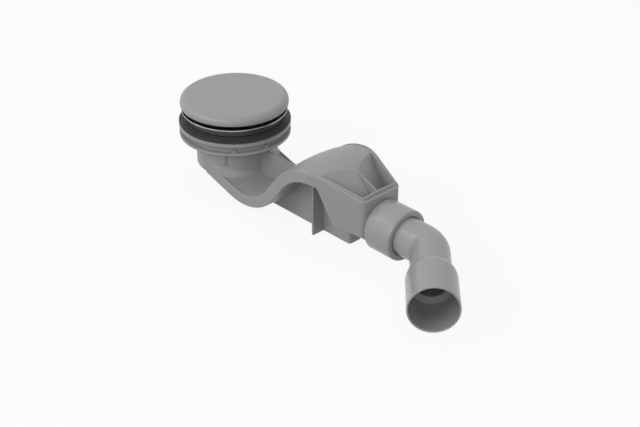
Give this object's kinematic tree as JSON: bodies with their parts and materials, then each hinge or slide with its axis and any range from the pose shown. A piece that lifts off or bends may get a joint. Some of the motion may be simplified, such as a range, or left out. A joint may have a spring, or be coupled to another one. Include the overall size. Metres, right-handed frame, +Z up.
{
  "type": "shower trap",
  "caption": "Low shower waste trap with a round cover cap, rubber gaskets, an arched water-seal duct on a foot, and a compression outlet with an angled drain elbow.",
  "frame": {"origin": "centre of the shower tray's waste hole, level with the tray's underside", "axes": "+Z up along the waste's axis, +X along the duct to the outlet, -Y the side that the elbow turns to"},
  "size_m": [0.4335, 0.151, 0.0995],
  "materials": {
    "cap_plastic": "satin moulded",
    "inner_plastic": "moulded",
    "flange_chrome": "bright chrome plating on moulded plastic",
    "screw_steel": "plain stainless",
    "gasket_rubber": "moulded, faint sheen",
    "body_plastic": "satin moulded",
    "nut_plastic": "smooth moulded",
    "pipe_plastic": "smooth moulded"
  },
  "bodies": {
    "root": {"cover_cap": "cap_plastic", "strainer": "inner_plastic", "top_flange": "flange_chrome", "flange_screws": "screw_steel", "upper_gasket": "gasket_rubber", "lower_gasket": "gasket_rubber", "trap_body": "body_plastic", "cone_seal": "gasket_rubber", "slip_washer": "inner_plastic", "outlet_nut": "nut_plastic", "outlet_elbow": "pipe_plastic"}
  },
  "joints": []
}
